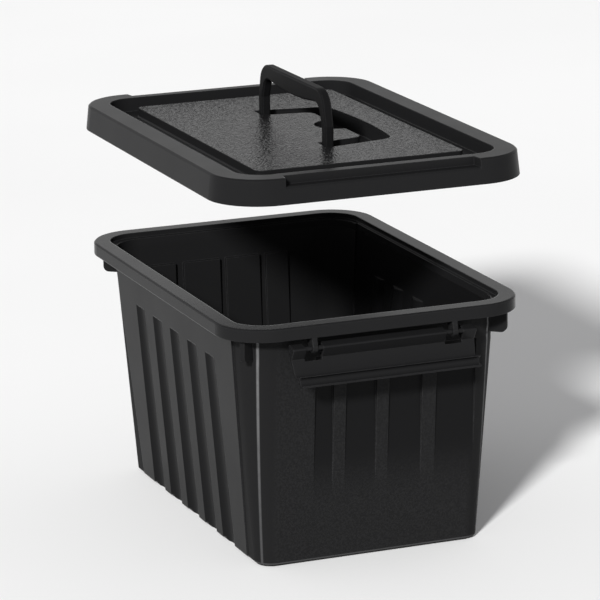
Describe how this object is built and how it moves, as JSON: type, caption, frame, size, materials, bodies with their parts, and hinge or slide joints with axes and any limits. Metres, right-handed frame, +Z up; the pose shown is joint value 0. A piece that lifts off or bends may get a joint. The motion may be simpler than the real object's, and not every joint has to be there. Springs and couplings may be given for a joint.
{
  "type": "latching storage box",
  "caption": "Tapered plastic storage tub with fluted sides, a lift-off lid with a folding bail handle, and snap-hinged latch bars on the short sides that hook over the lid.",
  "frame": {"origin": "middle of the base, on the surface that the tub stands on", "axes": "+X across the short side, towards the side that the handle folds to; -Y towards the front latch; +Z up"},
  "size_m": [0.2268, 0.3464, 0.3155],
  "materials": {
    "tub_plastic": "fine-grained satin black",
    "lid_plastic": "satin black with a leather-grained panel",
    "handle_plastic": "satin black",
    "latch_plastic": "satin black"
  },
  "bodies": {
    "tub": {"tub": "tub_plastic"},
    "lid": {"lid": "lid_plastic"},
    "handle": {"lid_handle": "handle_plastic"},
    "front_latch": {"front_latch": "latch_plastic"},
    "rear_latch": {"rear_latch": "latch_plastic"}
  },
  "joints": [
    {"name": "lid_lift", "type": "slide", "parent": "tub", "child": "lid", "axis": [0, 0, 1], "range_m": [-0.0953, 0.06]},
    {"name": "handle_fold", "type": "hinge", "parent": "lid", "child": "handle", "pos_m": [0, 0, 0.2705], "axis": [0, 1, 0], "range_deg": [0, 90]},
    {"name": "front_latch_swing", "type": "hinge", "parent": "tub", "child": "front_latch", "pos_m": [0, -0.1586, 0.1606], "axis": [-1, 0, 0], "range_deg": [-18, 162]},
    {"name": "rear_latch_swing", "type": "hinge", "parent": "tub", "child": "rear_latch", "pos_m": [0, 0.1586, 0.1606], "axis": [1, 0, 0], "range_deg": [-18, 162]}
  ]
}
